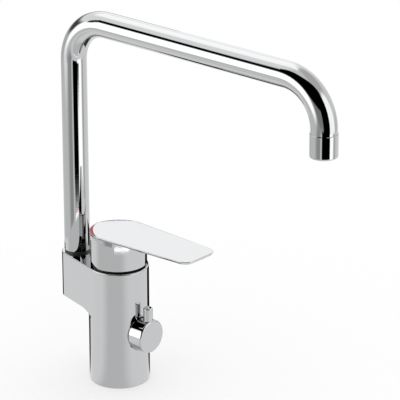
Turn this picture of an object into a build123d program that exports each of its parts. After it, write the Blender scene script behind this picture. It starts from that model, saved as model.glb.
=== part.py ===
from build123d import *
import os
from math import cos, radians, sin, tan

os.makedirs("parts", exist_ok=True)

# Kitchen mixer tap with one lever, a swivel spout and a shut-off valve for a dishwasher.
# Z is up, the worktop is z = 0 and the body's axis is the Z axis.
# The spout and the lever point to the front, which is -Y. Hot is on the left, -X.

# Body column and the lug behind it
body_radius = 26.0
body_height = 105.5
body_edge_round = 0.8
lug_reach = 48.0
lug_rim = 2.3
lug_depth = 40.2
lug_blend_radius = 6.0

# Spout
tube_radius = 11.0
tube_wall = 1.0
arm_height = 316.0
spout_projection = 222.0
spout_drop = 60.0
bend_radius = 38.0
aerator_step = 0.6
aerator_height = 20.0

# Lever
lever_inset = 1.5
lever_rim_gap = 1.1
lever_depth = 30.0
lever_reach = 95.0
lever_tip_half_width = 18.8
lever_tip_corner_radius = 7.0
lever_plate_thickness = 3.0
lever_wall = 2.0
lever_lift_angle = 20.0

# Cartridge
cartridge_radius = 17.35
cartridge_height = 22.0
cavity_depth = 29.5
disc_stack_radius = 15.0
ceramic_thickness = 3.0
rotor_neck_radius = 12.1
pivot_rise = 5.0
stem_width = 7.0
ball_radius = 2.6

# Shut-off valve, on an axis that points to the front
valve_height = 48.1
knob_radius = 14.5
knob_recess = 2.8
knob_gap = 0.4
knob_thickness = 14.1
grip_radius = 4.0
grip_length = 25.9
grip_front_wall = 0.3

# Waterways and connections in the base
inlet_offset = 8.5
inlet_back = -2.0
outlet_port_back = 9.0
channel_radius = 3.0
hose_thread_radius = 5.0
hose_thread_depth = 14.0
branch_port_front = 15.0
stud_offset = 15.0
stud_back = 10.0
stud_radius = 3.0
stud_depth = 16.0

# Clearances
running_gap = 0.05
seat_gap = 0.3
thread_gap = 0.1
cut_overrun = 1.0


def radial_plane(azimuth):
    """A plane through the Z axis whose X points outwards and whose Y points up."""
    out_x = cos(radians(azimuth))
    out_y = sin(radians(azimuth))
    return Plane(origin=(0, 0, 0), x_dir=(out_x, out_y, 0), z_dir=(out_y, -out_x, 0))


def valve_plane(distance):
    """A plane across the valve's axis, facing the front, this far from the body's axis."""
    return Plane(origin=(0, -distance, valve_height), x_dir=(1, 0, 0), z_dir=(0, -1, 0))


def back_plane(origin):
    """A plane that faces the back, through the given point."""
    return Plane(origin=origin, x_dir=(-1, 0, 0), z_dir=(0, 1, 0))


def finish(piece, name):
    """Name a finished piece and write it."""
    piece.part.label = name
    export_step(piece.part, f"parts/{name}.step")


# Outer places that follow from those sizes
lug_end_radius = tube_radius + lug_rim
lug_underside_height = body_height - lug_depth
outlet_height = arm_height - spout_drop
aerator_radius = tube_radius + aerator_step
lever_radius = body_radius - lever_inset
lever_rim_height = body_height + lever_rim_gap
lever_top_height = lever_rim_height + lever_depth
recess_face = body_radius - knob_recess
knob_back = recess_face + knob_gap
knob_front = knob_back + knob_thickness
grip_distance = knob_front - grip_radius - grip_front_wall
grip_top_height = valve_height + grip_length

# Heights in the cartridge, from the seat up
cartridge_seat_height = body_height - cavity_depth
housing_top = cartridge_seat_height + cartridge_height
lever_pivot_height = housing_top + pivot_rise
housing_floor = 3.0
disc_floor_height = cartridge_seat_height + housing_floor
moving_disc_height = disc_floor_height + ceramic_thickness
carrier_height = moving_disc_height + ceramic_thickness
carrier_thickness = 4.0
rotor_floor_height = carrier_height + carrier_thickness + seat_gap
housing_lip = 2.7
rotor_shoulder_height = housing_top - housing_lip - seat_gap
rotor_top_height = lever_pivot_height + stem_width
ball_height = carrier_height + ball_radius + seat_gap
stem_arm = lever_pivot_height - ball_height
disc_travel = stem_arm * sin(radians(lever_lift_angle))
moving_disc_radius = disc_stack_radius - disc_travel / 2 - 4 * seat_gap
disc_rest_offset = disc_travel / 2
nut_thread_step = 1.15
nut_thread_radius = cartridge_radius + nut_thread_step
port_places = [(-inlet_offset, inlet_back), (inlet_offset, inlet_back), (0, outlet_port_back)]

# Heights in the spout's joint, from the lug's top down
bearing_depth = 4.0
bearing_flange = 2.0
bearing_wall = 1.7
bearing_inset = 0.2
foot_step = 2.1
foot_radius = tube_radius - foot_step
bearing_radius = foot_radius + bearing_wall
bearing_flange_radius = tube_radius - bearing_inset
socket_drop = 8.0
chamber_height = 9.0
lock_drop = 8.5
lock_screw_radius = 2.5
seat_web = 1.0
tube_start_height = body_height + bearing_flange + running_gap
spout_bore_radius = foot_radius + 2 * running_gap
spout_bore_floor = cartridge_seat_height - socket_drop
foot_floor_height = spout_bore_floor + chamber_height
lock_height = body_height - lock_drop
outlet_channel_height = cartridge_seat_height - channel_radius - seat_web

# Places along the valve's axis, as distances from the body's axis
valve_bore_radius = 9.0
valve_bore_end = 8.0
valve_seal_thickness = 1.5
valve_disc_thickness = 2.0
valve_recess = 2.4
valve_face = recess_face - valve_recess
collar_inset = 2.1
collar_radius = knob_radius - collar_inset
valve_fixed_disc_place = valve_bore_end + valve_seal_thickness
valve_moving_disc_place = valve_fixed_disc_place + valve_disc_thickness
valve_flange_place = valve_moving_disc_place + valve_disc_thickness

# Body casting: chromed brass, cast in one with its lug, then bored for what it holds
gasket_inset = 1.5
gasket_width = 2.5
gasket_outer_radius = body_radius - gasket_inset
gasket_inner_radius = gasket_outer_radius - gasket_width
gasket_thickness = 1.5
peg_radius = 2.0
peg_height = 2.0
peg_front = 10.0
branch_feed_radius = 1.8
branch_feed_offset = 6.5

with BuildPart() as lug_blend:
    with BuildSketch(radial_plane(90)):
        with BuildLine():
            blend_floor = lug_underside_height - lug_blend_radius
            blend_reach = body_radius + lug_blend_radius
            Line((0, blend_floor), (body_radius, blend_floor))
            CenterArc((blend_reach, blend_floor), lug_blend_radius, 90, 90)
            Line((blend_reach, lug_underside_height), (0, lug_underside_height))
            Line((0, lug_underside_height), (0, blend_floor))
        make_face()
    revolve(axis=Axis.Z)
    with BuildSketch(Plane.XY.offset(blend_floor)):
        Circle(body_radius)
        with Locations((0, lug_reach)):
            Circle(lug_end_radius)
        make_hull()
    extrude(amount=lug_blend_radius, mode=Mode.INTERSECT)

with BuildPart() as body_casting:
    with BuildSketch():
        Circle(body_radius)
    extrude(amount=body_height)
    with BuildSketch(Plane.XY.offset(lug_underside_height)):
        Circle(body_radius)
        with Locations((0, lug_reach)):
            Circle(lug_end_radius)
        make_hull()
    extrude(amount=body_height - lug_underside_height)
    add(lug_blend.part)
    fillet(body_casting.faces().sort_by(Axis.Z)[-1].edges(), body_edge_round)
    fillet(body_casting.faces().sort_by(Axis.Z)[0].edges(), body_edge_round)
    # Cartridge cavity, with the wider thread of the nut at its mouth
    with BuildSketch(Plane.XY.offset(cartridge_seat_height)):
        Circle(cartridge_radius + running_gap)
    extrude(amount=body_height, mode=Mode.SUBTRACT)
    with BuildSketch(Plane.XY.offset(housing_top - seat_gap)):
        Circle(nut_thread_radius + thread_gap)
    extrude(amount=body_height, mode=Mode.SUBTRACT)
    # Spout socket, stepped for its bearing ring
    with BuildSketch(Plane.XY.offset(spout_bore_floor)):
        with Locations((0, lug_reach)):
            Circle(spout_bore_radius)
    extrude(amount=body_height, mode=Mode.SUBTRACT)
    with BuildSketch(Plane.XY.offset(body_height - bearing_depth)):
        with Locations((0, lug_reach)):
            Circle(bearing_radius)
    extrude(amount=body_height, mode=Mode.SUBTRACT)
    # Mixed water runs from the cartridge's outlet port back into the spout socket
    with BuildSketch(back_plane((0, outlet_port_back - channel_radius, outlet_channel_height))):
        Circle(channel_radius)
    extrude(amount=lug_reach - outlet_port_back + channel_radius, mode=Mode.SUBTRACT)
    with BuildSketch(Plane.XY.offset(outlet_channel_height)):
        with Locations((0, outlet_port_back)):
            Circle(channel_radius)
    extrude(amount=body_height, mode=Mode.SUBTRACT)
    # Hot and cold supplies rise from the base to the cartridge
    with BuildSketch():
        with Locations((-inlet_offset, inlet_back), (inlet_offset, inlet_back)):
            Circle(channel_radius)
    extrude(amount=body_height, mode=Mode.SUBTRACT)
    with BuildSketch():
        with Locations((-inlet_offset, inlet_back), (inlet_offset, inlet_back)):
            Circle(hose_thread_radius)
        with Locations((0, -branch_port_front)):
            Circle(hose_thread_radius)
    extrude(amount=hose_thread_depth, mode=Mode.SUBTRACT)
    # Valve bore, its seat, the knob's recess, the feed from the cold side and the way down to the branch
    with BuildSketch(valve_plane(valve_bore_end)):
        Circle(valve_bore_radius)
    extrude(amount=body_radius, mode=Mode.SUBTRACT)
    with BuildSketch(valve_plane(valve_face)):
        Circle(collar_radius + 2 * thread_gap)
    extrude(amount=body_radius, mode=Mode.SUBTRACT)
    with BuildSketch(valve_plane(recess_face)):
        Circle(knob_radius + 2 * knob_gap)
    extrude(amount=body_radius, mode=Mode.SUBTRACT)
    with BuildSketch(valve_plane(-inlet_back)):
        with Locations((branch_feed_offset, 0)):
            Circle(branch_feed_radius)
    extrude(amount=valve_bore_end + inlet_back + cut_overrun, mode=Mode.SUBTRACT)
    with BuildSketch():
        with Locations((0, -branch_port_front)):
            Circle(channel_radius)
    extrude(amount=valve_height - valve_bore_radius / 2, mode=Mode.SUBTRACT)
    # Two stud threads, the gasket's groove and two peg holes in the cartridge's seat
    with BuildSketch():
        with Locations((-stud_offset, stud_back), (stud_offset, stud_back)):
            Circle(stud_radius)
    extrude(amount=stud_depth, mode=Mode.SUBTRACT)
    with BuildSketch():
        Circle(gasket_outer_radius)
        Circle(gasket_inner_radius, mode=Mode.SUBTRACT)
    extrude(amount=gasket_thickness, mode=Mode.SUBTRACT)
    with BuildSketch(Plane.XY.offset(cartridge_seat_height - peg_height - seat_gap)):
        with Locations((-peg_front, -peg_front), (peg_front, -peg_front)):
            Circle(peg_radius + running_gap)
    extrude(amount=peg_height + seat_gap, mode=Mode.SUBTRACT)
    # Thread for the screw that limits the spout's swing
    with BuildSketch(back_plane((0, lug_reach + foot_radius / 2, lock_height))):
        Circle(lock_screw_radius + thread_gap)
    extrude(amount=lug_end_radius, mode=Mode.SUBTRACT)
finish(body_casting, "body_casting")

# Base gasket: a flat rubber ring, pressed flush into its groove by the studs
with BuildPart() as base_gasket:
    with BuildSketch():
        Circle(gasket_outer_radius - running_gap)
        Circle(gasket_inner_radius + running_gap, mode=Mode.SUBTRACT)
    extrude(amount=gasket_thickness)
finish(base_gasket, "base_gasket")

# Cartridge housing: a plastic cup with three ports, two pegs and a lip that holds the rotor
seal_outer_radius = 4.3
seal_inner_radius = 3.1
seal_thickness = 1.5
lip_inner_radius = rotor_neck_radius + seat_gap
with BuildPart() as cartridge_housing:
    with BuildSketch(radial_plane(0)):
        with BuildLine():
            Polyline(
                (0, cartridge_seat_height),
                (cartridge_radius, cartridge_seat_height),
                (cartridge_radius, housing_top),
                (lip_inner_radius, housing_top),
                (lip_inner_radius, housing_top - housing_lip),
                (disc_stack_radius, housing_top - housing_lip),
                (disc_stack_radius, disc_floor_height),
                (0, disc_floor_height),
                close=True,
            )
        make_face()
    revolve(axis=Axis.Z)
    with BuildSketch(Plane.XY.offset(cartridge_seat_height)):
        with Locations(*port_places):
            Circle(channel_radius)
    extrude(amount=housing_floor, mode=Mode.SUBTRACT)
    with BuildSketch(Plane.XY.offset(cartridge_seat_height)):
        with Locations(*port_places):
            Circle(seal_outer_radius)
    extrude(amount=seal_thickness, mode=Mode.SUBTRACT)
    with BuildSketch(Plane.XY.offset(cartridge_seat_height)):
        with Locations((-peg_front, -peg_front), (peg_front, -peg_front)):
            Circle(peg_radius)
    extrude(amount=-peg_height)
finish(cartridge_housing, "cartridge_housing")

# Port seals: three rubber rings between the housing and its seat
with BuildPart() as port_seals:
    with BuildSketch(Plane.XY.offset(cartridge_seat_height)):
        with Locations(*port_places):
            Circle(seal_outer_radius - running_gap)
            Circle(seal_inner_radius, mode=Mode.SUBTRACT)
    extrude(amount=seal_thickness)
finish(port_seals, "port_seals")

# Fixed ceramic disc, keyed in the housing, with its three ports
with BuildPart() as fixed_disc:
    with BuildSketch(Plane.XY.offset(disc_floor_height)):
        Circle(disc_stack_radius - seat_gap)
        with Locations(*port_places):
            Circle(channel_radius, mode=Mode.SUBTRACT)
    extrude(amount=ceramic_thickness)
finish(fixed_disc, "fixed_disc")

# Moving ceramic disc: a blind pocket in its underside joins the ports as it slides and turns
pocket_width = 17.0
pocket_height = 8.6
pocket_depth = 1.6
pocket_back = 8.0
with BuildPart() as moving_disc:
    with BuildSketch(Plane.XY.offset(moving_disc_height)):
        with Locations((0, disc_rest_offset)):
            Circle(moving_disc_radius)
    extrude(amount=ceramic_thickness)
    with BuildSketch(Plane.XY.offset(moving_disc_height)):
        with Locations((0, pocket_back)):
            SlotOverall(pocket_width, pocket_height)
    extrude(amount=pocket_depth, mode=Mode.SUBTRACT)
finish(moving_disc, "moving_disc")

# Disc carrier: carries the moving disc between the rotor's ribs, pushed by the stem's ball
carrier_half_width = 9.0
ball_play = 0.2
socket_length = 8.0
with BuildPart() as disc_carrier:
    with BuildSketch(Plane.XY.offset(carrier_height)):
        with Locations((0, disc_rest_offset)):
            Circle(moving_disc_radius)
            Rectangle(2 * carrier_half_width, 2 * disc_stack_radius, mode=Mode.INTERSECT)
        Rectangle(socket_length, 2 * (ball_radius + ball_play), mode=Mode.SUBTRACT)
    extrude(amount=carrier_thickness)
finish(disc_carrier, "disc_carrier")

# Rotor: turns in the housing with the lever, holds the stem's pin and guides the carrier
rotor_radius = disc_stack_radius - seat_gap
stem_slot_width = stem_width + 2 * seat_gap
stem_slot_front = 8.7
stem_slot_back = 7.0
stem_pin_radius = 1.5
pin_half_length = 10.5
ring_groove_depth = 1.6
ring_groove_height = 2.0
ring_groove_floor = housing_top - housing_lip / 2 - ring_groove_height / 2
with BuildPart() as rotor:
    with BuildSketch(Plane.XY.offset(carrier_height + seat_gap)):
        Circle(rotor_radius)
        Rectangle(
            2 * (carrier_half_width + running_gap),
            2 * disc_stack_radius,
            mode=Mode.SUBTRACT,
        )
    extrude(amount=carrier_thickness)
    with BuildSketch(Plane.XY.offset(rotor_floor_height)):
        Circle(rotor_radius)
    extrude(amount=rotor_shoulder_height - rotor_floor_height)
    with BuildSketch(Plane.XY.offset(rotor_shoulder_height)):
        Circle(rotor_neck_radius)
    extrude(amount=rotor_top_height - rotor_shoulder_height)
    chamfer(rotor.faces().sort_by(Axis.Z)[-1].edges(), body_edge_round)
    with BuildSketch(Plane.XY.offset(ring_groove_floor)):
        Circle(rotor_radius)
        Circle(rotor_neck_radius - ring_groove_depth, mode=Mode.SUBTRACT)
    extrude(amount=ring_groove_height, mode=Mode.SUBTRACT)
    with BuildSketch(Plane.XY.offset(rotor_floor_height)):
        with Locations((0, (stem_slot_back - stem_slot_front) / 2)):
            Rectangle(stem_slot_width, stem_slot_back + stem_slot_front)
    extrude(amount=rotor_top_height, mode=Mode.SUBTRACT)
    with BuildSketch(Plane.YZ):
        with Locations((0, lever_pivot_height)):
            Circle(stem_pin_radius)
    extrude(amount=pin_half_length, both=True, mode=Mode.SUBTRACT)
finish(rotor, "rotor")

# Rotor seal: a rubber ring in the groove round the rotor's neck
ring_thickness = 0.85
with BuildPart() as rotor_seal:
    with BuildSketch(radial_plane(0)):
        with Locations(
            (lip_inner_radius - ring_thickness - running_gap, ring_groove_floor + ring_groove_height / 2)
        ):
            Circle(ring_thickness)
    revolve(axis=Axis.Z)
finish(rotor_seal, "rotor_seal")

# Stem pin: steel, across the rotor's slot
with BuildPart() as stem_pin:
    with BuildSketch(Plane.YZ):
        with Locations((0, lever_pivot_height)):
            Circle(stem_pin_radius - running_gap / 2)
    extrude(amount=pin_half_length, both=True)
finish(stem_pin, "stem_pin")

# Stem: a square bar in the lever, a round shank and the ball that moves the discs
shank_radius = 2.2
stem_block_drop = 5.0
stem_overlap = 4.0
paddle_floor_height = lever_top_height - lever_plate_thickness
relief_front = 2.0
rear_rim_height = lever_rim_height + (lever_radius + relief_front) * tan(radians(lever_lift_angle))
set_screw_height = (rear_rim_height + paddle_floor_height) / 2
stem_top_height = set_screw_height + stem_overlap
with BuildPart() as lever_stem:
    with BuildSketch(Plane.XY.offset(lever_pivot_height - stem_block_drop)):
        RectangleRounded(stem_width, stem_width, body_edge_round)
    extrude(amount=stem_top_height - lever_pivot_height + stem_block_drop)
    with BuildSketch(Plane.XY.offset(ball_height)):
        Circle(shank_radius)
    extrude(amount=stem_arm - stem_block_drop)
    with Locations((0, 0, ball_height)):
        Sphere(ball_radius)
    with BuildSketch(Plane.YZ):
        with Locations((0, lever_pivot_height)):
            Circle(stem_pin_radius + running_gap)
    extrude(amount=stem_width, both=True, mode=Mode.SUBTRACT)
finish(lever_stem, "lever_stem")

# Cartridge nut: brass, screwed into the cavity's mouth on to the housing's shoulder
nut_bore_gap = 0.9
nut_bore_radius = rotor_neck_radius + nut_bore_gap
nut_thread_height = body_height + seat_gap - housing_top
nut_flat_radius = 17.0
nut_head_height = 3.2
with BuildPart() as cartridge_nut:
    with BuildSketch(Plane.XY.offset(housing_top)):
        Circle(nut_thread_radius)
    extrude(amount=nut_thread_height)
    with BuildSketch(Plane.XY.offset(housing_top + nut_thread_height)):
        RegularPolygon(nut_flat_radius, 6, major_radius=False)
    extrude(amount=nut_head_height)
    with BuildSketch(Plane.XY.offset(housing_top)):
        Circle(nut_bore_radius)
    extrude(amount=nut_thread_height + nut_head_height, mode=Mode.SUBTRACT)
finish(cartridge_nut, "cartridge_nut")

# Nut shroud: a black plastic ring round the nut's head, held down by the head's six corners
shroud_inner_radius = 20.0
shroud_wall = 1.6
shroud_height = 2.8
shroud_outer_radius = shroud_inner_radius + shroud_wall
with BuildPart() as nut_shroud:
    with BuildSketch(Plane.XY.offset(body_height)):
        Circle(shroud_outer_radius)
        Circle(nut_thread_radius + seat_gap, mode=Mode.SUBTRACT)
    extrude(amount=seat_gap)
    with BuildSketch(Plane.XY.offset(body_height)):
        Circle(shroud_outer_radius)
        Circle(shroud_inner_radius, mode=Mode.SUBTRACT)
    extrude(amount=shroud_height)
finish(nut_shroud, "nut_shroud")

# Lever: cast in one as a flat paddle, a skirt over the cartridge and a boss on the stem.
# The skirt's rim is cut back behind the pivot, so that it clears the body when the lever lifts.
paddle_top_round = 1.4
paddle_bottom_round = 1.5
boss_radius = 7.5
boss_gap = 4.0
boss_floor_height = rotor_top_height + boss_gap
set_screw_radius = 2.5
plug_radius = 3.2
facet_chord = 18.4
facet_slope = 17.0
mark_inset = 0.4
mark_radius = lever_radius - 3 * mark_inset
mark_depth = 0.5
hot_azimuth = 135.0
cold_azimuth = 45.0


def facet_plane(azimuth):
    """The plane of a facet at the lever's rear: its X runs along the facet's inner edge."""
    out_x = cos(radians(azimuth))
    out_y = sin(radians(azimuth))
    lean = sin(radians(facet_slope))
    return Plane(
        origin=(facet_chord * out_x, facet_chord * out_y, lever_top_height),
        x_dir=(-out_y, out_x, 0),
        z_dir=(lean * out_x, lean * out_y, cos(radians(facet_slope))),
    )


def colour_mark(azimuth):
    """The inlay that fills a facet's recess, flush with the facet."""
    with BuildPart() as mark:
        with BuildSketch(facet_plane(azimuth).offset(-mark_depth)):
            with Locations((0, -mark_inset - lever_radius / 2)):
                Rectangle(2 * lever_radius, lever_radius)
        extrude(amount=mark_depth)
        with BuildSketch(Plane.XY.offset(paddle_floor_height)):
            Circle(mark_radius)
        extrude(amount=lever_plate_thickness, mode=Mode.INTERSECT)
    return mark.part


with BuildPart() as lever_handle:
    with BuildSketch(Plane.XY.offset(paddle_floor_height)):
        tip_x = lever_tip_half_width - lever_tip_corner_radius
        tip_y = lever_reach - lever_tip_corner_radius
        Circle(lever_radius)
        with Locations((-tip_x, -tip_y), (tip_x, -tip_y)):
            Circle(lever_tip_corner_radius)
        make_hull()
    extrude(amount=lever_plate_thickness)
    fillet(lever_handle.faces().sort_by(Axis.Z)[-1].edges(), paddle_top_round)
    fillet(lever_handle.faces().sort_by(Axis.Z)[0].edges(), paddle_bottom_round)
    with BuildSketch(radial_plane(0)):
        with BuildLine():
            skirt_inner = lever_radius - lever_wall
            skirt_outer = lever_radius - running_gap
            Polyline(
                (skirt_inner, lever_rim_height),
                (lever_radius - lever_wall / 2, lever_rim_height),
                (skirt_outer, lever_rim_height + lever_wall / 2),
                (skirt_outer, paddle_floor_height + paddle_bottom_round),
                (skirt_inner, paddle_floor_height + paddle_bottom_round),
                close=True,
            )
        make_face()
    revolve(axis=Axis.Z)
    with BuildSketch(Plane.XY.offset(boss_floor_height)):
        Circle(boss_radius)
    extrude(amount=paddle_floor_height - boss_floor_height + paddle_bottom_round)
    # Relief behind the pivot
    with BuildSketch(Plane.YZ):
        with BuildLine():
            relief_reach = lever_radius + relief_front + cut_overrun
            relief_rise = relief_reach * tan(radians(lever_lift_angle))
            Polyline(
                (-relief_front, lever_rim_height),
                (relief_reach - relief_front, lever_rim_height + relief_rise),
                (relief_reach - relief_front, lever_rim_height - cut_overrun),
                (-relief_front, lever_rim_height - cut_overrun),
                close=True,
            )
        make_face()
    extrude(amount=lever_radius + cut_overrun, both=True, mode=Mode.SUBTRACT)
    # Square hole for the stem, the set screw's thread and the hole that reaches it
    with BuildSketch(Plane.XY.offset(boss_floor_height)):
        Rectangle(stem_width + 2 * running_gap, stem_width + 2 * running_gap)
    extrude(amount=stem_top_height + seat_gap - boss_floor_height, mode=Mode.SUBTRACT)
    with BuildSketch(back_plane((0, 0, set_screw_height))):
        Circle(set_screw_radius + running_gap)
    extrude(amount=boss_radius + cut_overrun, mode=Mode.SUBTRACT)
    with BuildSketch(back_plane((0, boss_radius + cut_overrun, set_screw_height))):
        Circle(plug_radius)
    extrude(amount=lever_radius, mode=Mode.SUBTRACT)
    # Two sloping facets at the rear, each with the recess for its colour mark
    for azimuth in (hot_azimuth, cold_azimuth):
        with BuildSketch(facet_plane(azimuth)):
            with Locations((0, -lever_radius / 2)):
                Rectangle(2 * lever_radius, lever_radius)
        extrude(amount=lever_plate_thickness, mode=Mode.SUBTRACT)
        add(colour_mark(azimuth), mode=Mode.SUBTRACT)
finish(lever_handle, "lever_handle")

# Colour marks: two glossy inlays, red for hot on the left and blue for cold on the right
for index_name, index_azimuth in (("hot_index", hot_azimuth), ("cold_index", cold_azimuth)):
    with BuildPart() as colour_index:
        add(colour_mark(index_azimuth))
    finish(colour_index, index_name)

# Set screw: locks the lever on its stem, reached from the back
socket_radius = 1.3
socket_depth = 2.2
set_screw_length = 5.0
with BuildPart() as lever_set_screw:
    with BuildSketch(back_plane((0, stem_width / 2, set_screw_height))):
        Circle(set_screw_radius)
    extrude(amount=set_screw_length)
    with BuildSketch(back_plane((0, stem_width / 2 + set_screw_length - socket_depth, set_screw_height))):
        RegularPolygon(socket_radius, 6)
    extrude(amount=socket_depth, mode=Mode.SUBTRACT)
finish(lever_set_screw, "lever_set_screw")

# Screw plug: a small cap that closes the set screw's hole in the skirt
with BuildPart() as screw_plug:
    with BuildSketch(back_plane((0, lever_radius - lever_wall - seat_gap, set_screw_height))):
        Circle(plug_radius - running_gap)
    extrude(amount=lever_wall)
    fillet(screw_plug.faces().sort_by(Axis.Y)[-1].edges(), seat_gap)
finish(screw_plug, "screw_plug")

# Bearing ring: a slippery collar that lines the socket's mouth and carries the spout
with BuildPart() as spout_bearing_ring:
    with BuildSketch(Plane.XY.offset(body_height - bearing_depth)):
        with Locations((0, lug_reach)):
            Circle(bearing_radius - running_gap)
    extrude(amount=bearing_depth)
    with BuildSketch(Plane.XY.offset(body_height)):
        with Locations((0, lug_reach)):
            Circle(bearing_flange_radius)
    extrude(amount=bearing_flange)
    with BuildSketch(Plane.XY.offset(body_height - bearing_depth)):
        with Locations((0, lug_reach)):
            Circle(foot_radius + running_gap)
    extrude(amount=bearing_depth + bearing_flange, mode=Mode.SUBTRACT)
finish(spout_bearing_ring, "spout_bearing_ring")

# Spout foot: a turned nipple, pressed into the tube, with two ring grooves and a stop groove
foot_wall = 2.9
foot_bore_radius = foot_radius - foot_wall
foot_insert_height = 16.0
seal_ring_radius = 1.1
seal_groove_width = 2.6
seal_groove_floor_radius = foot_radius + running_gap - 2 * seal_ring_radius - running_gap
seal_groove_rise = 5.0
seal_groove_pitch = 6.0
seal_groove_heights = [foot_floor_height + seal_groove_rise + seal_groove_pitch * ring for ring in (0, 1)]
stop_groove_depth = 1.5
stop_groove_radius = foot_radius - stop_groove_depth
stop_groove_width = 5.6
stop_groove_sweep = 153.0
spout_axis = Axis((0, lug_reach, 0), (0, 0, 1))
with BuildPart() as spout_foot:
    with BuildSketch(Plane.XY.offset(foot_floor_height)):
        with Locations((0, lug_reach)):
            Circle(foot_radius)
    extrude(amount=tube_start_height - foot_floor_height)
    with BuildSketch(Plane.XY.offset(tube_start_height)):
        with Locations((0, lug_reach)):
            Circle(tube_radius - tube_wall - running_gap / 2)
    extrude(amount=foot_insert_height)
    for groove_height in seal_groove_heights:
        with BuildSketch(Plane.XY.offset(groove_height - seal_groove_width / 2)):
            with Locations((0, lug_reach)):
                Circle(foot_radius + cut_overrun)
                Circle(seal_groove_floor_radius, mode=Mode.SUBTRACT)
        extrude(amount=seal_groove_width, mode=Mode.SUBTRACT)
    stop_start = radians(90 - stop_groove_sweep / 2)
    stop_plane = Plane(
        origin=(0, lug_reach, lock_height),
        x_dir=(cos(stop_start), sin(stop_start), 0),
        z_dir=(sin(stop_start), -cos(stop_start), 0),
    )
    with BuildSketch(stop_plane):
        with Locations(((stop_groove_radius + foot_radius + cut_overrun) / 2, 0)):
            Rectangle(foot_radius + cut_overrun - stop_groove_radius, stop_groove_width)
    revolve(axis=spout_axis, revolution_arc=stop_groove_sweep, mode=Mode.SUBTRACT)
    with BuildSketch(Plane.XY.offset(foot_floor_height)):
        with Locations((0, lug_reach)):
            Circle(foot_bore_radius)
    extrude(amount=tube_start_height + foot_insert_height, mode=Mode.SUBTRACT)
finish(spout_foot, "spout_foot")

# Spout seals: two rubber rings in the foot's grooves
with BuildPart() as spout_seals:
    for groove_height in seal_groove_heights:
        with BuildSketch(Plane(origin=(0, lug_reach, groove_height), x_dir=(1, 0, 0), z_dir=(0, -1, 0))):
            with Locations((foot_radius + running_gap - seal_ring_radius, 0)):
                Circle(seal_ring_radius)
        revolve(axis=spout_axis)
finish(spout_seals, "spout_seals")

# Lock screw: its plain tip runs in the foot's stop groove and keeps the spout in place
lock_tip_radius = 2.0
lock_tip_place = stop_groove_radius + 2 * seat_gap
lock_tip_length = foot_radius + seat_gap - lock_tip_place
with BuildPart() as spout_lock_screw:
    with BuildSketch(back_plane((0, lug_reach + lock_tip_place, lock_height))):
        Circle(lock_tip_radius)
    extrude(amount=lock_tip_length)
    with BuildSketch(back_plane((0, lug_reach + lock_tip_place + lock_tip_length, lock_height))):
        Circle(lock_screw_radius)
    extrude(amount=lug_end_radius - lock_tip_place - lock_tip_length - seat_gap)
    with BuildSketch(back_plane((0, lug_reach + lug_end_radius - seat_gap - socket_depth, lock_height))):
        RegularPolygon(socket_radius, 6)
    extrude(amount=socket_depth, mode=Mode.SUBTRACT)
finish(spout_lock_screw, "spout_lock_screw")

# Spout tube: one brass tube, bent twice, open at both ends
tube_end_rise = 6.0
tube_end_height = outlet_height + tube_end_rise
with BuildPart() as spout_tube:
    with BuildLine():
        FilletPolyline(
            (0, lug_reach, tube_start_height),
            (0, lug_reach, arm_height),
            (0, -spout_projection, arm_height),
            (0, -spout_projection, tube_end_height),
            radius=bend_radius,
        )
    with BuildSketch(Plane(origin=(0, lug_reach, tube_start_height), z_dir=(0, 0, 1))):
        Circle(tube_radius)
        Circle(tube_radius - tube_wall, mode=Mode.SUBTRACT)
    sweep()
finish(spout_tube, "spout_tube")

# Aerator housing: a chromed sleeve at the spout's end, with a rolled-in lower edge
aerator_lip_height = 0.8
aerator_wall = 1.2
aerator_bore_radius = aerator_radius - aerator_wall
aerator_lip_radius = aerator_bore_radius - aerator_wall
aerator_edge_round = 1.6
with BuildPart() as aerator_housing:
    with BuildSketch(Plane.XY.offset(outlet_height)):
        with Locations((0, -spout_projection)):
            Circle(aerator_radius)
    extrude(amount=aerator_height)
    fillet(aerator_housing.faces().sort_by(Axis.Z)[0].edges(), aerator_edge_round)
    chamfer(aerator_housing.faces().sort_by(Axis.Z)[-1].edges(), seat_gap)
    with BuildSketch(Plane.XY.offset(tube_end_height)):
        with Locations((0, -spout_projection)):
            Circle(tube_radius + running_gap / 2)
    extrude(amount=aerator_height, mode=Mode.SUBTRACT)
    with BuildSketch(Plane.XY.offset(outlet_height + aerator_lip_height)):
        with Locations((0, -spout_projection)):
            Circle(aerator_bore_radius)
    extrude(amount=aerator_height, mode=Mode.SUBTRACT)
    with BuildSketch(Plane.XY.offset(outlet_height - cut_overrun)):
        with Locations((0, -spout_projection)):
            Circle(aerator_lip_radius)
    extrude(amount=aerator_height, mode=Mode.SUBTRACT)
finish(aerator_housing, "aerator_housing")

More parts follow.
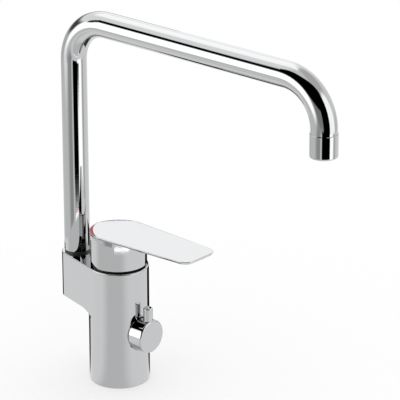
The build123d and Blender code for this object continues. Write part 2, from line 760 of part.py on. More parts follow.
# Aerator insert: a plastic cup whose floor is pierced with rings of jets
aerator_seal_thickness = 0.6
insert_flange_radius = aerator_bore_radius - running_gap
insert_body_radius = tube_radius - tube_wall - seat_gap
insert_floor_height = outlet_height + aerator_lip_height
insert_flange_top = tube_end_height - aerator_seal_thickness
insert_height = 9.0
insert_wall = 1.2
jet_radius = 0.8
jets_in_first_ring = 6
jet_ring_radius = 3.1
with BuildPart() as aerator_insert:
    with BuildSketch(Plane.XY.offset(insert_floor_height)):
        with Locations((0, -spout_projection)):
            Circle(insert_flange_radius)
    extrude(amount=insert_flange_top - insert_floor_height)
    with BuildSketch(Plane.XY.offset(insert_flange_top)):
        with Locations((0, -spout_projection)):
            Circle(insert_body_radius)
    extrude(amount=insert_height)
    with BuildSketch(Plane.XY.offset(insert_floor_height + 2 * insert_wall)):
        with Locations((0, -spout_projection)):
            Circle(insert_body_radius - insert_wall)
    extrude(amount=aerator_height, mode=Mode.SUBTRACT)
    with BuildSketch(Plane.XY.offset(insert_floor_height)):
        with Locations((0, -spout_projection)):
            Circle(jet_radius)
            for ring in (1, 2):
                with PolarLocations(ring * jet_ring_radius, ring * jets_in_first_ring):
                    Circle(jet_radius)
    extrude(amount=aerator_height, mode=Mode.SUBTRACT)
finish(aerator_insert, "aerator_insert")

# Aerator seal: a flat rubber ring between the insert's flange and the tube's end
with BuildPart() as aerator_seal:
    with BuildSketch(Plane.XY.offset(insert_flange_top)):
        with Locations((0, -spout_projection)):
            Circle(insert_flange_radius)
            Circle(insert_body_radius + running_gap, mode=Mode.SUBTRACT)
    extrude(amount=aerator_seal_thickness)
finish(aerator_seal, "aerator_seal")

# Valve bonnet: brass, screwed into the valve bore, with a hexagon on its seat
bonnet_wall = 0.9
collar_wall = 1.0
bonnet_radius = valve_bore_radius - thread_gap
bonnet_bore_radius = bonnet_radius - bonnet_wall
hexagon_flat_radius = (collar_radius - collar_wall - seat_gap) * cos(radians(30))
hexagon_thickness = knob_back - valve_face - seat_gap
spindle_radius = 3.5
spindle_flange_thickness = 2.5
spindle_shoulder = valve_flange_place + spindle_flange_thickness
window_radius = 1.2
with BuildPart() as valve_bonnet:
    with BuildSketch(valve_plane(valve_fixed_disc_place)):
        Circle(bonnet_radius)
    extrude(amount=valve_face - valve_fixed_disc_place)
    with BuildSketch(valve_plane(valve_face)):
        RegularPolygon(hexagon_flat_radius, 6, major_radius=False)
    extrude(amount=hexagon_thickness)
    with BuildSketch(valve_plane(valve_fixed_disc_place)):
        Circle(bonnet_bore_radius)
    extrude(amount=spindle_shoulder + running_gap - valve_fixed_disc_place, mode=Mode.SUBTRACT)
    with BuildSketch(valve_plane(valve_fixed_disc_place)):
        Circle(spindle_radius + running_gap)
    extrude(amount=body_radius, mode=Mode.SUBTRACT)
    with BuildSketch(Plane.YZ):
        with Locations((-valve_flange_place - spindle_flange_thickness / 2, valve_height)):
            Circle(window_radius)
    extrude(amount=valve_bore_radius, both=True, mode=Mode.SUBTRACT)
    with BuildSketch(Plane.XY.offset(valve_height)):
        with Locations((0, -valve_flange_place - spindle_flange_thickness / 2)):
            Circle(window_radius)
    extrude(amount=valve_bore_radius, both=True, mode=Mode.SUBTRACT)
finish(valve_bonnet, "valve_bonnet")

# Valve seal: a rubber ring at the end of the valve bore
valve_seal_bore_radius = 5.5
with BuildPart() as valve_seat_seal:
    with BuildSketch(valve_plane(valve_bore_end)):
        Circle(valve_bore_radius - 2 * thread_gap)
        Circle(valve_seal_bore_radius, mode=Mode.SUBTRACT)
        with Locations((branch_feed_offset, 0)):
            Circle(branch_feed_radius, mode=Mode.SUBTRACT)
    extrude(amount=valve_seal_thickness)
finish(valve_seat_seal, "valve_seat_seal")

# Valve discs: two ceramic discs with two holes each, which meet after a quarter turn
valve_port_radius = 2.2
valve_port_offset = 3.8
with BuildPart() as valve_fixed_disc:
    with BuildSketch(valve_plane(valve_fixed_disc_place)):
        Circle(bonnet_bore_radius - thread_gap)
        with Locations((0, -valve_port_offset), (0, valve_port_offset)):
            Circle(valve_port_radius, mode=Mode.SUBTRACT)
    extrude(amount=valve_disc_thickness)
finish(valve_fixed_disc, "valve_fixed_disc")

with BuildPart() as valve_moving_disc:
    with BuildSketch(valve_plane(valve_moving_disc_place)):
        Circle(bonnet_bore_radius - seat_gap)
        with Locations((-valve_port_offset, 0), (valve_port_offset, 0)):
            Circle(valve_port_radius, mode=Mode.SUBTRACT)
    extrude(amount=valve_disc_thickness)
finish(valve_moving_disc, "valve_moving_disc")

# Valve spindle: a slotted flange that turns the moving disc, and a shaft out to the knob
spindle_seal_drop = 3.0
spindle_seal_place = valve_face - spindle_seal_drop
spindle_seal_thickness = 0.5
spindle_groove_width = 1.3
knob_bore_radius = 3.0
spindle_overlap = 2.2
spindle_end = grip_distance + spindle_overlap
with BuildPart() as valve_spindle:
    with BuildSketch(valve_plane(valve_flange_place)):
        Circle(bonnet_bore_radius - 2 * seat_gap)
        with Locations((-valve_port_offset, 0), (valve_port_offset, 0)):
            Circle(valve_port_radius, mode=Mode.SUBTRACT)
    extrude(amount=spindle_flange_thickness)
    with BuildSketch(valve_plane(spindle_shoulder)):
        Circle(spindle_radius)
    extrude(amount=valve_face + hexagon_thickness - spindle_shoulder)
    with BuildSketch(valve_plane(valve_face + hexagon_thickness)):
        Circle(knob_bore_radius)
    extrude(amount=spindle_end - valve_face - hexagon_thickness)
    with BuildSketch(valve_plane(spindle_seal_place - spindle_groove_width / 2)):
        Circle(spindle_radius + running_gap)
        Circle(spindle_radius - 2 * spindle_seal_thickness - running_gap, mode=Mode.SUBTRACT)
    extrude(amount=spindle_groove_width, mode=Mode.SUBTRACT)
finish(valve_spindle, "valve_spindle")

# Spindle seal: a small rubber ring in the spindle's groove
valve_axis = Axis((0, 0, valve_height), (0, -1, 0))
with BuildPart() as spindle_seal:
    with BuildSketch(Plane.YZ):
        with Locations((-spindle_seal_place, valve_height + spindle_radius - spindle_seal_thickness)):
            Circle(spindle_seal_thickness)
    revolve(axis=valve_axis)
finish(spindle_seal, "spindle_seal")

# Valve collar: a ring round the bonnet's hexagon that lines the body's recess behind the knob
with BuildPart() as valve_collar:
    with BuildSketch(valve_plane(valve_face)):
        Circle(collar_radius)
        Circle(collar_radius - collar_wall, mode=Mode.SUBTRACT)
    extrude(amount=hexagon_thickness)
finish(valve_collar, "valve_collar")

# Shut-off knob: a turned disc with rounded edges, bored for the spindle and for its grip
knob_front_round = 1.4
knob_back_round = 0.8
grip_seat = 7.0
grip_thread_radius = 2.0
with BuildPart() as shutoff_knob:
    with BuildSketch(valve_plane(knob_back)):
        Circle(knob_radius)
    extrude(amount=knob_front - knob_back)
    fillet(shutoff_knob.faces().sort_by(Axis.Y)[0].edges(), knob_front_round)
    fillet(shutoff_knob.faces().sort_by(Axis.Y)[-1].edges(), knob_back_round)
    with BuildSketch(valve_plane(knob_back)):
        Circle(knob_bore_radius + running_gap)
    extrude(amount=spindle_end - knob_back + seat_gap, mode=Mode.SUBTRACT)
    with BuildSketch(Plane.XY.offset(valve_height)):
        with Locations((0, -grip_distance)):
            Circle(grip_thread_radius + running_gap)
    extrude(amount=knob_radius, mode=Mode.SUBTRACT)
    with BuildSketch(Plane.XY.offset(valve_height + grip_seat)):
        with Locations((0, -grip_distance)):
            Circle(grip_radius + running_gap)
    extrude(amount=knob_radius, mode=Mode.SUBTRACT)
finish(shutoff_knob, "shutoff_knob")

# Knob grip: a round peg with a domed end, whose thread also locks the knob on its spindle
grip_end_round = 1.0
with BuildPart() as knob_grip:
    with BuildSketch(Plane.XY.offset(valve_height + grip_seat)):
        with Locations((0, -grip_distance)):
            Circle(grip_radius)
    extrude(amount=grip_top_height - valve_height - grip_seat)
    fillet(knob_grip.faces().sort_by(Axis.Z)[-1].edges(), grip_end_round)
    with BuildSketch(Plane.XY.offset(valve_height + knob_bore_radius + running_gap)):
        with Locations((0, -grip_distance)):
            Circle(grip_thread_radius)
    extrude(amount=grip_seat - knob_bore_radius - running_gap)
finish(knob_grip, "knob_grip")
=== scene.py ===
import math

import bmesh
import bpy
import numpy as np
from mathutils import Matrix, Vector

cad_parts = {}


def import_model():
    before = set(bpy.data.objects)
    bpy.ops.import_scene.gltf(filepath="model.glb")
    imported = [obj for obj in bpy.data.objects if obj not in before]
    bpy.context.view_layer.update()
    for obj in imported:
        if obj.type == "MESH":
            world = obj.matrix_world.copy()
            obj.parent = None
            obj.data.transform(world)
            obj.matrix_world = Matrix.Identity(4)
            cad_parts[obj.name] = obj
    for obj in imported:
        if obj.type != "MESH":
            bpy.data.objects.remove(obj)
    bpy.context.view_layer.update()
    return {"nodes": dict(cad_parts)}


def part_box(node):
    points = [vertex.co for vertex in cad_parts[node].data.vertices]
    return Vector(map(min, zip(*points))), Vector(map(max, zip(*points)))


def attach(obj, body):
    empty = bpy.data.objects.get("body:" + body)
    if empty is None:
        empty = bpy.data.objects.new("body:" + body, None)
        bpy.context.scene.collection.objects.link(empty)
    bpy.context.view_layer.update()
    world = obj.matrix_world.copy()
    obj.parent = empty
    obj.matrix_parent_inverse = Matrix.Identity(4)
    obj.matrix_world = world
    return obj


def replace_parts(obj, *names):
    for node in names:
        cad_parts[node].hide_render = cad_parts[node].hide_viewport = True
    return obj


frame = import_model()
nodes = frame["nodes"]


# Body casting: the column and the lug that carries the spout, one brass casting.
# It is ground, polished by hand on a wheel and chrome-plated, and clamps to the worktop from below.
chrome_colour = (0.55, 0.555, 0.56, 1)
mirror_roughness = 0.012
wiped_roughness = 0.045
wipe_scale = 38.0
polish_scale = 420.0
polish_depth = 0.000006
noise_valley = 0.35
noise_peak = 0.65
along_column = (1, 1, 0.25)


def new_material(name):
    """An empty node material with its Principled shader and its links."""
    material = bpy.data.materials.new(name)
    material.use_nodes = True
    tree = material.node_tree
    return material, tree, tree.nodes["Principled BSDF"]


def noise(tree, scale, detail, roughness=0.55, stretch=(1, 1, 1)):
    """Noise fixed to the object, finer along the axes that stretch raises."""
    place = tree.nodes.new("ShaderNodeTexCoord")
    mapping = tree.nodes.new("ShaderNodeMapping")
    mapping.inputs["Scale"].default_value = stretch
    texture = tree.nodes.new("ShaderNodeTexNoise")
    texture.inputs["Scale"].default_value = scale
    texture.inputs["Detail"].default_value = detail
    texture.inputs["Roughness"].default_value = roughness
    tree.links.new(place.outputs["Object"], mapping.inputs["Vector"])
    tree.links.new(mapping.outputs["Vector"], texture.inputs["Vector"])
    return texture.outputs["Fac"]


def spread(tree, source, low, high):
    """Maps a noise value to a range."""
    ramp = tree.nodes.new("ShaderNodeMapRange")
    ramp.inputs["From Min"].default_value = noise_valley
    ramp.inputs["From Max"].default_value = noise_peak
    ramp.inputs["To Min"].default_value = low
    ramp.inputs["To Max"].default_value = high
    tree.links.new(source, ramp.inputs["Value"])
    return ramp.outputs["Result"]


def tint(tree, source, dark, light):
    """Mixes two colours by a noise value."""
    ramp = tree.nodes.new("ShaderNodeValToRGB")
    ramp.color_ramp.elements[0].position = noise_valley
    ramp.color_ramp.elements[0].color = (*dark, 1)
    ramp.color_ramp.elements[1].position = noise_peak
    ramp.color_ramp.elements[1].color = (*light, 1)
    tree.links.new(source, ramp.inputs["Fac"])
    return ramp.outputs["Color"]


def bump(tree, shader, height, distance):
    """Raises the surface by a height map."""
    node = tree.nodes.new("ShaderNodeBump")
    node.inputs["Strength"].default_value = 1.0
    node.inputs["Distance"].default_value = distance
    tree.links.new(height, node.inputs["Height"])
    tree.links.new(node.outputs["Normal"], shader.inputs["Normal"])


def polished_chrome(name, grain):
    """Chrome plate: a mirror with a faint haze where it was wiped, and traces of the polishing wheel."""
    material, tree, shader = new_material(name)
    shader.inputs["Base Color"].default_value = chrome_colour
    shader.inputs["Metallic"].default_value = 1.0
    wiped = noise(tree, scale=wipe_scale, detail=5.0, roughness=0.6)
    tree.links.new(spread(tree, wiped, mirror_roughness, wiped_roughness), shader.inputs["Roughness"])
    traces = noise(tree, scale=polish_scale, detail=3.0, roughness=0.5, stretch=grain)
    bump(tree, shader, traces, polish_depth)
    return material


def dress(node_name, material):
    """Gives a CAD node its material."""
    piece = nodes[node_name]
    piece.data.materials.clear()
    piece.data.materials.append(material)


dress("body_casting", polished_chrome("body_chrome", along_column))


# Base gasket: a flat rubber ring, pressed between the body's foot and the worktop.
# It is moulded in matt black rubber and lies in the foot's groove.
rubber_dark = (0.018, 0.018, 0.019)
rubber_dusty = (0.035, 0.035, 0.036)
rubber_grain_depth = 0.00003


def moulded_rubber(name):
    """Matt black rubber with a fine moulded grain and a dusty bloom."""
    material, tree, shader = new_material(name)
    bloom = noise(tree, scale=90.0, detail=6.0)
    tree.links.new(tint(tree, bloom, rubber_dark, rubber_dusty), shader.inputs["Base Color"])
    tree.links.new(spread(tree, bloom, low=0.62, high=0.85), shader.inputs["Roughness"])
    bump(tree, shader, noise(tree, scale=2600.0, detail=2.0), rubber_grain_depth)
    return material


dress("base_gasket", moulded_rubber("gasket_rubber"))


# Cartridge: two lapped ceramic discs in a white plastic housing, with a rotor that the lever turns.
# Housing, rotor and carrier are injection-moulded; the rotor tilts the stem on a steel pin.
moulding_depth = 0.00001
lapping_depth = 0.000003
groove_depth = 0.000012
around_axis = (0.05, 0.05, 1)


def moulded_plastic(name, dark, light, low, high, grain_depth=moulding_depth):
    """A moulded or pressed skin: uneven where it set, with a fine grain. Low and high are its roughness."""
    material, tree, shader = new_material(name)
    flow = noise(tree, scale=70.0, detail=5.0)
    tree.links.new(tint(tree, flow, dark, light), shader.inputs["Base Color"])
    tree.links.new(spread(tree, flow, low, high), shader.inputs["Roughness"])
    bump(tree, shader, noise(tree, scale=1800.0, detail=3.0), grain_depth)
    return material


def turned_metal(name, dark, light, low, high, groove_scale):
    """Bare machined metal: tool grooves around the upright axis and slightly tarnished patches."""
    material, tree, shader = new_material(name)
    shader.inputs["Metallic"].default_value = 1.0
    tarnish = noise(tree, scale=110.0, detail=5.0)
    tree.links.new(tint(tree, tarnish, dark, light), shader.inputs["Base Color"])
    tree.links.new(spread(tree, tarnish, low, high), shader.inputs["Roughness"])
    grooves = noise(tree, scale=groove_scale, detail=2.0, roughness=0.5, stretch=around_axis)
    bump(tree, shader, grooves, groove_depth)
    return material


white_plastic = moulded_plastic(
    "cartridge_plastic", dark=(0.77, 0.78, 0.77), light=(0.83, 0.84, 0.83), low=0.38, high=0.5
)
for node_name in ("cartridge_housing", "rotor", "disc_carrier"):
    dress(node_name, white_plastic)

lapped_ceramic = moulded_plastic(
    "lapped_ceramic",
    dark=(0.84, 0.83, 0.80),
    light=(0.88, 0.87, 0.84),
    low=0.12,
    high=0.2,
    grain_depth=lapping_depth,
)
for node_name in ("fixed_disc", "moving_disc", "valve_fixed_disc", "valve_moving_disc"):
    dress(node_name, lapped_ceramic)

seal_rubber = moulded_rubber("seal_rubber")
for node_name in ("port_seals", "rotor_seal", "spout_seals", "valve_seat_seal", "spindle_seal"):
    dress(node_name, seal_rubber)
dress("aerator_seal", seal_rubber)

turned_steel = turned_metal(
    "turned_steel",
    dark=(0.50, 0.50, 0.51),
    light=(0.60, 0.60, 0.61),
    low=0.22,
    high=0.36,
    groove_scale=2400.0,
)
for node_name in ("stem_pin", "lever_set_screw", "spout_lock_screw"):
    dress(node_name, turned_steel)


# Cartridge nut and its shroud: a brass nut that presses the cartridge down on its seals.
# A black plastic ring covers it and fills the gap below the lever's cap; its near-black colour is partly
# painted shade, standing for the shadow in that gap.
turned_brass = turned_metal(
    "turned_brass",
    dark=(0.62, 0.44, 0.19),
    light=(0.76, 0.58, 0.30),
    low=0.2,
    high=0.34,
    groove_scale=1900.0,
)
for node_name in ("cartridge_nut", "valve_bonnet", "valve_spindle", "spout_foot", "lever_stem"):
    dress(node_name, turned_brass)

# Painted shade: this ring is coloured darker than black plastic, so that the gap under the cap reads as
# shadow.
shroud_painted_shade = moulded_plastic(
    "shroud_painted_shade", dark=(0.004, 0.004, 0.004), light=(0.008, 0.008, 0.008), low=0.5, high=0.65
)
dress("nut_shroud", shroud_painted_shade)


# Shut-off valve: a knob with an upright peg turns a ceramic disc by a quarter turn.
# Knob and peg are turned from brass and plated; the collar behind them hides the bonnet.
along_reach = (1, 0.2, 1)
valve_chrome = polished_chrome("valve_chrome", along_reach)
for node_name in ("valve_collar", "shutoff_knob", "knob_grip"):
    dress(node_name, valve_chrome)


# Spout: a drawn brass tube, bent twice, polished on all sides and plated.
# Its foot is soldered in, and turns in the lug on two rings and a dark plastic bearing ring.
even_grain = (1, 1, 1)
spout_chrome = polished_chrome("spout_chrome", even_grain)
dress("spout_tube", spout_chrome)

bearing_plastic = moulded_plastic(
    "bearing_plastic", dark=(0.03, 0.03, 0.031), light=(0.045, 0.045, 0.046), low=0.3, high=0.4
)
dress("spout_bearing_ring", bearing_plastic)


# Aerator: a chromed sleeve screwed into the tube's end, with a plastic insert that mixes in air.
# The insert is moulded in grey plastic and can be taken out to be rinsed.
dress("aerator_housing", spout_chrome)

insert_plastic = moulded_plastic(
    "insert_plastic", dark=(0.29, 0.30, 0.31), light=(0.35, 0.36, 0.37), low=0.35, high=0.5
)
dress("aerator_insert", insert_plastic)


# Lever: paddle, cap and boss in one zinc casting, polished and plated, held on its stem by a set screw.
# Cap and boss are the CAD's. The paddle is made here with a finer edge: a side that leans inward below
# the rim, rounder corners at the tip, and two narrow crescents at the rear that slope to the rim.
lever_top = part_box("lever_handle")[1][2]
paddle_thickness = 0.003
paddle_reach = 0.095
paddle_rear_radius = 0.0245
paddle_tip_half_width = 0.0199
paddle_tip_radius = 0.0095
rim_round = 0.0005
rim_rings = 13
side_lean = 41.0
underside_round = 0.0006
underside_rings = 6
underside_inset = 0.002285
flat_edge = 0.0003
neck_radius = 0.02445
groove_below_top = 0.00165
cap_inner_radius = 0.0225
boss_radius = 0.0075
cut_overlap = 0.00002
cut_tolerance = 0.0000001
weld_distance = 0.000006
sliver_length = 0.000001
smooth_angle = 15.0
outline_step = 2.0
outline_azimuth = np.arange(0, 360, outline_step) + outline_step / 2
crescent_width = 0.003
crescent_half_span = 41.0
crescent_slope = math.tan(math.radians(10.0))
hot_azimuth = 135.0
cold_azimuth = 45.0


def paddle_outline(inset):
    """The paddle's outline, moved inward: one point for each direction of its normal."""
    tip_x = paddle_tip_half_width - paddle_tip_radius
    tip_y = paddle_tip_radius - paddle_reach
    circles = [
        (0, 0, paddle_rear_radius),
        (-tip_x, tip_y, paddle_tip_radius),
        (tip_x, tip_y, paddle_tip_radius),
    ]
    out_x = np.cos(np.radians(outline_azimuth))
    out_y = np.sin(np.radians(outline_azimuth))
    reach = np.stack([x * out_x + y * out_y + radius for x, y, radius in circles])
    middle_x, middle_y, radius = np.array(circles)[np.argmax(reach, axis=0)].T
    return middle_x + (radius - inset) * out_x, middle_y + (radius - inset) * out_y


def crescent_depth(azimuth):
    """How far the crescents reach inward from the rim, in a direction in degrees."""
    depth = np.zeros(azimuth.shape)
    for middle in (hot_azimuth, cold_azimuth):
        share = 1 - ((azimuth - middle) / crescent_half_span) ** 2
        depth = np.maximum(depth, crescent_width * np.clip(share, 0, 1))
    return depth


def add_ring(mesh, x, y, height):
    """A ring of vertices."""
    heights = np.broadcast_to(height, x.shape)
    return [mesh.verts.new(place) for place in zip(x.tolist(), y.tolist(), heights.tolist())]


def join_rings(mesh, rings, closed=True):
    """Faces between rings, from the first to the last."""
    count = len(rings[0])
    for below, above in zip(rings, rings[1:]):
        for k in range(count if closed else count - 1):
            beside = (k + 1) % count
            mesh.faces.new((below[k], below[beside], above[beside], above[k]))


def finish_piece(mesh, name, material):
    """Turns the mesh into a piece that moves with the lever."""
    bmesh.ops.remove_doubles(mesh, verts=mesh.verts, dist=weld_distance)
    bmesh.ops.dissolve_degenerate(mesh, edges=mesh.edges, dist=sliver_length)
    bmesh.ops.recalc_face_normals(mesh, faces=mesh.faces)
    data = bpy.data.meshes.new(name)
    mesh.to_mesh(data)
    mesh.free()
    data.shade_smooth()
    data.set_sharp_from_angle(angle=math.radians(smooth_angle))
    piece = bpy.data.objects.new(name, data)
    bpy.context.scene.collection.objects.link(piece)
    piece.data.materials.clear()
    piece.data.materials.append(material)
    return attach(piece, "lever")


lever_chrome = polished_chrome("lever_chrome", along_reach)
dress("screw_plug", lever_chrome)

# The CAD's cap and boss, cut just below the paddle: cap wall and boss are closed, the room between is not
paddle_floor = lever_top - paddle_thickness
casting = bmesh.new()
casting.from_mesh(nodes["lever_handle"].data)
cut = bmesh.ops.bisect_plane(
    casting,
    geom=casting.verts[:] + casting.edges[:] + casting.faces[:],
    dist=cut_tolerance,
    plane_co=(0, 0, paddle_floor - cut_overlap),
    plane_no=(0, 0, 1),
    clear_outer=True,
)
cut_edges = [edge for edge in cut["geom_cut"] if isinstance(edge, bmesh.types.BMEdge)]
filled = bmesh.ops.triangle_fill(casting, edges=cut_edges, use_beauty=True)
between_walls = []
for face in filled["geom"]:
    if isinstance(face, bmesh.types.BMFace):
        if boss_radius < face.calc_center_median().xy.length < cap_inner_radius:
            between_walls.append(face)
bmesh.ops.delete(casting, geom=between_walls, context="FACES")

# The paddle, ring by ring: its underside, the leaning side, the rim and the flat top
depth = crescent_depth(outline_azimuth)
drop = depth * crescent_slope
rings = [add_ring(casting, *paddle_outline(2 * underside_inset), paddle_floor)]
for angle in np.linspace(180, 90 + side_lean, underside_rings):
    turn = math.radians(angle)
    inset = underside_inset - underside_round * math.sin(turn)
    height = paddle_floor + underside_round * (1 + math.cos(turn))
    rings.append(add_ring(casting, *paddle_outline(inset), height))
for angle in np.linspace(90 + side_lean, 0, rim_rings):
    turn = math.radians(angle)
    inset = rim_round * (1 - math.sin(turn))
    height = lever_top - drop - rim_round * (1 - math.cos(turn))
    rings.append(add_ring(casting, *paddle_outline(inset), height))
rings.append(add_ring(casting, *paddle_outline(rim_round + depth), lever_top))
rings.append(add_ring(casting, *paddle_outline(rim_round + depth + flat_edge), lever_top))
join_rings(casting, rings)
casting.faces.new(rings[-1])
casting.faces.new(rings[0][::-1])

# The neck: it leads the cap's wall up into the paddle and leaves a narrow groove below the rim
neck_x = neck_radius * np.cos(np.radians(outline_azimuth))
neck_y = neck_radius * np.sin(np.radians(outline_azimuth))
neck_low = add_ring(casting, neck_x, neck_y, paddle_floor - 2 * cut_overlap)
neck_high = add_ring(casting, neck_x, neck_y, lever_top - groove_below_top - drop)
join_rings(casting, [neck_low, neck_high])
casting.faces.new(neck_low[::-1])
casting.faces.new(neck_high)
lever_casting = finish_piece(casting, "lever_casting", lever_chrome)
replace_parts(lever_casting, "lever_handle")


# Colour marks: two crescents of glossy enamel at the lever's rear, red for hot and blue for cold.
# Each fills its sloping crescent up to a narrow edge and stands a hair above the chrome.
enamel_grain_depth = 0.00001
mark_span_share = 0.93
mark_columns = 41
mark_edge = 0.0002
mark_depth = 0.0003
mark_rise = 0.00002


def enamel(name, dark, light):
    """Glossy enamel filled into a mark, slightly uneven in depth."""
    material, tree, shader = new_material(name)
    layer = noise(tree, scale=400.0, detail=3.0)
    tree.links.new(tint(tree, layer, dark, light), shader.inputs["Base Color"])
    tree.links.new(spread(tree, layer, low=0.08, high=0.16), shader.inputs["Roughness"])
    bump(tree, shader, noise(tree, scale=900.0, detail=2.0), enamel_grain_depth)
    return material


def crescent_mark(name, node_name, middle, material):
    """A crescent of enamel that lies in the casting's slope."""
    mark = bmesh.new()
    azimuth = middle + crescent_half_span * np.linspace(-mark_span_share, mark_span_share, mark_columns)
    width = crescent_depth(azimuth)
    inner_edge = width - mark_edge
    corners = (
        (mark_edge, -mark_depth),
        (mark_edge, mark_rise),
        (inner_edge, mark_rise),
        (inner_edge, -mark_depth),
    )
    rings = []
    for inset, lift in corners:
        radius = paddle_rear_radius - rim_round - inset
        x = radius * np.cos(np.radians(azimuth))
        y = radius * np.sin(np.radians(azimuth))
        rings.append(add_ring(mark, x, y, lever_top - (width - inset) * crescent_slope + lift))
    join_rings(mark, rings + [rings[0]], closed=False)
    mark.faces.new([ring[0] for ring in rings])
    mark.faces.new([ring[-1] for ring in rings][::-1])
    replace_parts(finish_piece(mark, name, material), node_name)


hot_enamel = enamel("hot_enamel", dark=(0.36, 0.02, 0.035), light=(0.50, 0.035, 0.055))
cold_enamel = enamel("cold_enamel", dark=(0.02, 0.07, 0.34), light=(0.03, 0.11, 0.46))
crescent_mark("hot_crescent", "hot_index", hot_azimuth, hot_enamel)
crescent_mark("cold_crescent", "cold_index", cold_azimuth, cold_enamel)


# Camera: the photograph's place and angle, with its long lens.
# It stands to the left of the spout and looks down by about 21 degrees.
camera_place = (-1.701800, -1.581860, 1.062954)
camera_yaw = math.radians(-48.80794)
camera_pitch = math.radians(21.17746)
camera_roll = math.radians(-0.16442)
camera_data = bpy.data.cameras.new("camera")
camera_data.sensor_width = 36.0
camera_data.lens = 265.49
camera_data.clip_start = 0.1
camera_data.clip_end = 50.0
camera = bpy.data.objects.new("camera", camera_data)
bpy.context.scene.collection.objects.link(camera)
camera.matrix_world = (
    Matrix.Translation(camera_place)
    @ Matrix.Rotation(camera_yaw, 4, "Z")
    @ Matrix.Rotation(math.radians(90) - camera_pitch, 4, "X")
    @ Matrix.Rotation(camera_roll, 4, "Z")
)
bpy.context.scene.camera = camera


# Studio tent: a white cloth dome round the table, with lit windows and dark openings.
# Only the chrome sees it: it is what a photographer hangs round a polished part.
tent_radius = 1.5
tent_height = 0.15
tent_step = 1.0
tent_lowest = -52.0
cloth_brightness = 0.95

# one row per cloth or opening: azimuth, elevation, half width, half height, squareness, softness, brightness
tent_patches = [
    (0, 75, 200, 22, 2, 0.6, 0.9),
    (75, 45, 72, 40, 3, 0.5, 1.15),
    (52, 62, 42, 24, 2.5, 0.5, 1.65),
    (41, 24, 16, 9, 3, 0.5, 1.43),
    (315, 60, 60, 22, 3, 0.6, 0.65),
    (330, -4, 30, 8, 2, 0.8, 0.8),
    (100, -18, 72, 8, 4, 0.5, 0.81),
    (85, 4, 40, 17, 3, 0.5, 0.65),
    (95, 12, 36, 8, 2.5, 1.0, 0.08),
    (190, 6, 42, 22, 3, 0.9, 0.5),
    (208, 8, 22, 18, 3, 0.9, 0.3),
    (186, -18, 23, 9, 3, 1.0, 0.42),
    (205, -19, 7, 8, 3, 0.8, 0.85),
    (205, 43, 68, 27, 2.6, 0.14, 0.0),
    (147, 7, 33, 19, 2.6, 0.55, 2.3),
    (136, 36, 12, 7, 4, 0.2, 0.0),
    (127, 25, 6, 8, 2.5, 0.6, 0.05),
    (286, 8, 24, 36, 3, 0.35, 1.6),
    (270, -18, 16, 9, 5, 0.3, 1.8),
    (302, -18, 10, 8, 3, 0.9, 0.62),
    (246, 14, 23, 30, 8, 0.1, 0.0),
    (231, -15, 20.5, 6.2, 9, 0.12, 0.0),
]


def ease(value):
    """A soft step from 0 to 1."""
    value = np.clip(value, 0, 1)
    return value * value * (3 - 2 * value)


def tent_brightness(azimuth, elevation):
    """The tent's brightness towards a direction, in degrees."""
    brightness = np.full(azimuth.shape, cloth_brightness)
    for middle, level, half_width, half_height, squareness, softness, value in tent_patches:
        across = np.abs((azimuth - middle + 180) % 360 - 180) / half_width
        upwards = np.abs(elevation - level) / half_height
        reach = (across ** squareness + upwards ** squareness) ** (1 / squareness)
        share = ease((1 + softness / 2 - reach) / softness)
        brightness = brightness * (1 - share) + value * share
    return brightness


def glowing_sheet(name, places, faces, brightness):
    """A stage mesh that keeps a brightness at each point."""
    mesh = bpy.data.meshes.new(name)
    mesh.from_pydata(places.tolist(), [], faces)
    glow = mesh.attributes.new("brightness", "FLOAT", "POINT")
    glow.data.foreach_set("value", brightness.astype(np.float32))
    sheet = bpy.data.objects.new(name, mesh)
    bpy.context.scene.collection.objects.link(sheet)
    return sheet


def brightness_glow(tree):
    """Emission of the brightness that the mesh keeps."""
    kept = tree.nodes.new("ShaderNodeAttribute")
    kept.attribute_name = "brightness"
    glow = tree.nodes.new("ShaderNodeEmission")
    glow.inputs["Color"].default_value = (1, 1, 1, 1)
    tree.links.new(kept.outputs["Fac"], glow.inputs["Strength"])
    return glow.outputs["Emission"]


def grid_faces(rows, columns):
    """Quads of a grid that closes on itself across its columns."""
    faces = []
    for row in range(rows - 1):
        for column in range(columns):
            beside = (column + 1) % columns
            near, far = row * columns, (row + 1) * columns
            faces.append((near + column, near + beside, far + beside, far + column))
    return faces


tent_columns = int(360 / tent_step)
tent_rows = int((90 - tent_lowest) / tent_step)
tent_azimuth, tent_elevation = np.meshgrid(
    np.arange(tent_columns) * tent_step,
    tent_lowest + np.arange(tent_rows) * tent_step,
)
tent_azimuth, tent_elevation = tent_azimuth.ravel(), tent_elevation.ravel()
tent_places = np.stack(
    [
        tent_radius * np.cos(np.radians(tent_elevation)) * np.cos(np.radians(tent_azimuth)),
        tent_radius * np.cos(np.radians(tent_elevation)) * np.sin(np.radians(tent_azimuth)),
        tent_height + tent_radius * np.sin(np.radians(tent_elevation)),
    ],
    axis=1,
)
tent_faces = grid_faces(tent_rows, tent_columns)
tent = glowing_sheet("studio_tent", tent_places, tent_faces, tent_brightness(tent_azimuth, tent_elevation))
tent_cloth, tent_tree, tent_shader = new_material("tent_cloth")
tent_tree.nodes.remove(tent_shader)
tent_tree.links.new(brightness_glow(tent_tree), tent_tree.nodes["Material Output"].inputs["Surface"])


def hang(sheet):
    """Hangs a cloth so that only the chrome sees it."""
    sheet.data.materials.append(tent_cloth)
    sheet.visible_camera = False
    sheet.visible_diffuse = False
    sheet.visible_shadow = False
    sheet.visible_transmission = False


hang(tent)


# Black strips: two upright cloths behind the tap, as a photographer of glass and chrome uses them.
# The low one draws the dark edges of the body, the upper one darkens the flat tops of lug and body.
back_azimuth = 41.0
strip_columns = 24


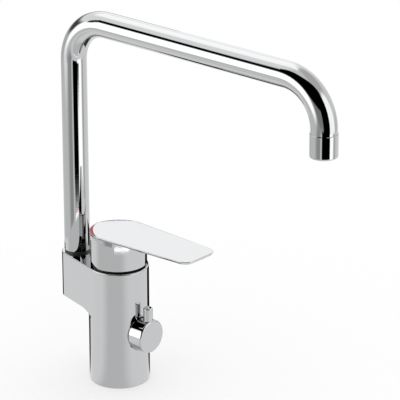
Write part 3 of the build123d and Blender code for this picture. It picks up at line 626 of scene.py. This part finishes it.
def black_strip(name, distance, half_width, low, high):
    """An upright strip of black cloth behind the tap, bent round it."""
    places, faces = [], []
    for column in range(strip_columns + 1):
        azimuth = math.radians(back_azimuth + half_width * (2 * column / strip_columns - 1))
        for height in (low, high):
            places.append((distance * math.cos(azimuth), distance * math.sin(azimuth), height))
    for column in range(strip_columns):
        corner = 2 * column
        faces.append((corner, corner + 2, corner + 3, corner + 1))
    hang(glowing_sheet(name, np.array(places), faces, np.zeros(len(places))))


black_strip("low_strip", distance=0.15, half_width=51.0, low=0.0, high=0.074)
black_strip("upper_strip", distance=0.6, half_width=7.0, low=0.285, high=0.364)


# Floor: a round white table top. The camera sees plain white with the tap's soft shadow.
# The chrome sees painted shading instead: painted shade on the camera's side, black painted shade behind the
# tap and a painted glowing rim.
floor_radius = 0.345
floor_middle_radius = 0.0005
floor_rings = 70
floor_columns = 240
floor_roughness = 0.9
lit_paper_share = 0.5
# Painted shade and glow of the table as the chrome sees it: darker on the camera's side, black behind the
# tap, a glowing rim.
near_painted_shade = 0.76
near_start, near_start_width = 155, 35
near_stop, near_stop_width = 265, 40
far_start, far_start_width = 118, 30
far_stop, far_stop_width = 200, 10
far_radius, far_radius_width = 0.265, 0.012
shade_brightness = 0.05
shade_half_width = 0.026
shade_spread_share = 0.97
shade_edge = 0.008
shade_radius, shade_radius_width = 0.152, 0.004
rim_painted_glow = 2.0
rim_radius, rim_radius_width = 0.332, 0.004
rim_start, rim_start_width = 204, 8
rim_stop, rim_stop_width = 272, 10


def after(value, start, width):
    """Rises softly from 0 at the start to 1."""
    return ease((value - start) / width)


def before(value, stop, width):
    """Falls softly from 1 to 0 at the stop."""
    return ease((stop - value) / width)


def floor_painted_shading(azimuth, radius):
    """The table's painted shading as the chrome mirrors it: painted shade on the camera's side and behind
    the tap, and a painted glowing rim.
    """
    near_side = after(azimuth, near_start, near_start_width) * before(azimuth, near_stop, near_stop_width)
    far_side = after(azimuth, far_start, far_start_width) * before(azimuth, far_stop, far_stop_width)
    far_side = far_side * after(radius, far_radius, far_radius_width)
    painted_darkening = np.maximum(near_side, far_side)
    away = radius * np.cos(np.radians(azimuth - back_azimuth))
    across = np.abs(radius * np.sin(np.radians(azimuth - back_azimuth)))
    shade = before(across, shade_half_width + shade_spread_share * away, shade_edge)
    shade = shade * after(away, 0, shade_radius_width) * before(radius, shade_radius, shade_radius_width)
    rim = after(radius, rim_radius, rim_radius_width)
    rim = rim * after(azimuth, rim_start, rim_start_width) * before(azimuth, rim_stop, rim_stop_width)
    # Painted shade on the camera's side and far side, then black painted shade behind the tap, then a
    # painted glow on the rim brighter than white.
    brightness = 1 - painted_darkening + near_painted_shade * painted_darkening
    brightness = brightness * (1 - shade) + shade_brightness * shade
    return brightness * (1 - rim) + rim_painted_glow * rim


floor_azimuth, floor_place = np.meshgrid(
    np.arange(floor_columns) * 360 / floor_columns,
    np.linspace(floor_middle_radius, floor_radius, floor_rings),
)
floor_azimuth, floor_place = floor_azimuth.ravel(), floor_place.ravel()
floor_places = np.stack(
    [
        floor_place * np.cos(np.radians(floor_azimuth)),
        floor_place * np.sin(np.radians(floor_azimuth)),
        np.zeros(floor_place.shape),
    ],
    axis=1,
)
floor_faces = grid_faces(floor_rings, floor_columns) + [tuple(range(floor_columns))]
# The floor keeps its painted shading as a brightness at each point.
floor = glowing_sheet("floor", floor_places, floor_faces, floor_painted_shading(floor_azimuth, floor_place))

floor_white, floor_tree, floor_shader = new_material("floor_white")
floor_shader.inputs["Base Color"].default_value = (1, 1, 1, 1)
floor_shader.inputs["Roughness"].default_value = floor_roughness
floor_shader.inputs["Specular IOR Level"].default_value = 0.0
light_path = floor_tree.nodes.new("ShaderNodeLightPath")
lit_paper = floor_tree.nodes.new("ShaderNodeEmission")
paper_share = floor_tree.nodes.new("ShaderNodeMath")
paper_share.operation = "MULTIPLY"
paper_share.inputs[1].default_value = lit_paper_share
floor_tree.links.new(light_path.outputs["Is Camera Ray"], paper_share.inputs[0])
paper_mix = floor_tree.nodes.new("ShaderNodeMixShader")
floor_tree.links.new(paper_share.outputs["Value"], paper_mix.inputs["Fac"])
floor_tree.links.new(floor_shader.outputs["BSDF"], paper_mix.inputs[1])
floor_tree.links.new(lit_paper.outputs["Emission"], paper_mix.inputs[2])
floor_mix = floor_tree.nodes.new("ShaderNodeMixShader")
floor_tree.links.new(light_path.outputs["Is Glossy Ray"], floor_mix.inputs["Fac"])
floor_tree.links.new(paper_mix.outputs["Shader"], floor_mix.inputs[1])
# For glossy rays the floor glows with its painted shading instead of being lit.
floor_tree.links.new(brightness_glow(floor_tree), floor_mix.inputs[2])
floor_tree.links.new(floor_mix.outputs["Shader"], floor_tree.nodes["Material Output"].inputs["Surface"])
floor.data.materials.append(floor_white)


# Room: even white light from all sides, which the tent lets through to the table.
# The picture is shown as it is lit, with no film look.
world = bpy.data.worlds.new("white_room")
bpy.context.scene.world = world
world.use_nodes = True
world.node_tree.nodes["Background"].inputs["Color"].default_value = (1, 1, 1, 1)
world.node_tree.nodes["Background"].inputs["Strength"].default_value = 1.0
bpy.context.scene.view_settings.view_transform = "Standard"
